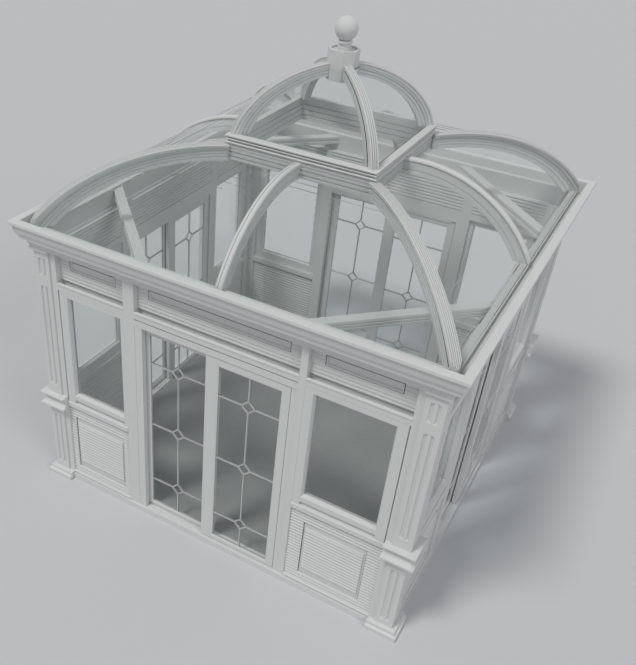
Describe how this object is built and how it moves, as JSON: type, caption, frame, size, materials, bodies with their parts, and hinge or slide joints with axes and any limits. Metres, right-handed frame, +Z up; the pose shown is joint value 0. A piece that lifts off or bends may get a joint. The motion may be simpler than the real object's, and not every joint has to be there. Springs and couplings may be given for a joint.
{
  "type": "square glazed conservatory with sliding doors and lantern",
  "caption": "Free-standing square conservatory in white coated aluminium, with sliding glass doors in every wall, panelled dados, corner columns, curved glass hip roof and glazed lantern",
  "frame": {"origin": "centre of the square plan, on the ground under the floor slab", "axes": "+Z up; -Y out of the front wall, +X out of the right wall"},
  "size_m": [4, 4, 4.439],
  "materials": {
    "white_coat": "satin white powder coat",
    "clear_glass": "clear, faint grey-green tint",
    "floor_screed": "matt mid grey, cement-like"
  },
  "bodies": {
    "root": {"floor_slab": "floor_screed", "base_sill": "white_coat", "base_rails": "white_coat", "corner_plinths": "white_coat", "corner_posts": "white_coat", "column_shafts": "white_coat", "column_capitals": "white_coat", "bracket_blocks": "white_coat", "door_posts": "white_coat", "door_jambs": "white_coat", "door_heads": "white_coat", "head_guides": "white_coat", "window_sills": "white_coat", "window_frames": "white_coat", "window_glass": "clear_glass", "window_heads": "white_coat", "dado_panels": "white_coat", "frieze_panels": "white_coat", "cornice": "white_coat", "gutter_bed": "white_coat", "roof_kerb": "white_coat", "hip_rafters": "white_coat", "middle_rafters": "white_coat", "corner_ties": "white_coat", "roof_glass": "clear_glass", "lantern_ring": "white_coat", "lantern_ribs": "white_coat", "lantern_glass": "clear_glass", "finial_hub": "white_coat", "finial_ball": "white_coat"},
    "front_outer": {"front_outer_leaf": "white_coat", "front_outer_pane": "clear_glass"},
    "front_inner": {"front_inner_leaf": "white_coat", "front_inner_pane": "clear_glass"},
    "right_outer": {"right_outer_leaf": "white_coat", "right_outer_pane": "clear_glass"},
    "right_inner": {"right_inner_leaf": "white_coat", "right_inner_pane": "clear_glass"},
    "back_outer": {"back_outer_leaf": "white_coat", "back_outer_pane": "clear_glass"},
    "back_inner": {"back_inner_leaf": "white_coat", "back_inner_pane": "clear_glass"},
    "left_outer": {"left_outer_leaf": "white_coat", "left_outer_pane": "clear_glass"},
    "left_inner": {"left_inner_leaf": "white_coat", "left_inner_pane": "clear_glass"}
  },
  "joints": [
    {"name": "front_outer_slide", "type": "slide", "parent": "root", "child": "front_outer", "axis": [-1, 0, 0], "range_m": [0, 0.63]},
    {"name": "front_inner_slide", "type": "slide", "parent": "root", "child": "front_inner", "axis": [-1, 0, 0], "range_m": [-0.66, 0]},
    {"name": "right_outer_slide", "type": "slide", "parent": "root", "child": "right_outer", "axis": [0, -1, 0], "range_m": [0, 0.63]},
    {"name": "right_inner_slide", "type": "slide", "parent": "root", "child": "right_inner", "axis": [0, -1, 0], "range_m": [-0.66, 0]},
    {"name": "back_outer_slide", "type": "slide", "parent": "root", "child": "back_outer", "axis": [1, 0, 0], "range_m": [0, 0.63]},
    {"name": "back_inner_slide", "type": "slide", "parent": "root", "child": "back_inner", "axis": [1, 0, 0], "range_m": [-0.66, 0]},
    {"name": "left_outer_slide", "type": "slide", "parent": "root", "child": "left_outer", "axis": [0, 1, 0], "range_m": [0, 0.63]},
    {"name": "left_inner_slide", "type": "slide", "parent": "root", "child": "left_inner", "axis": [0, 1, 0], "range_m": [-0.66, 0]}
  ]
}
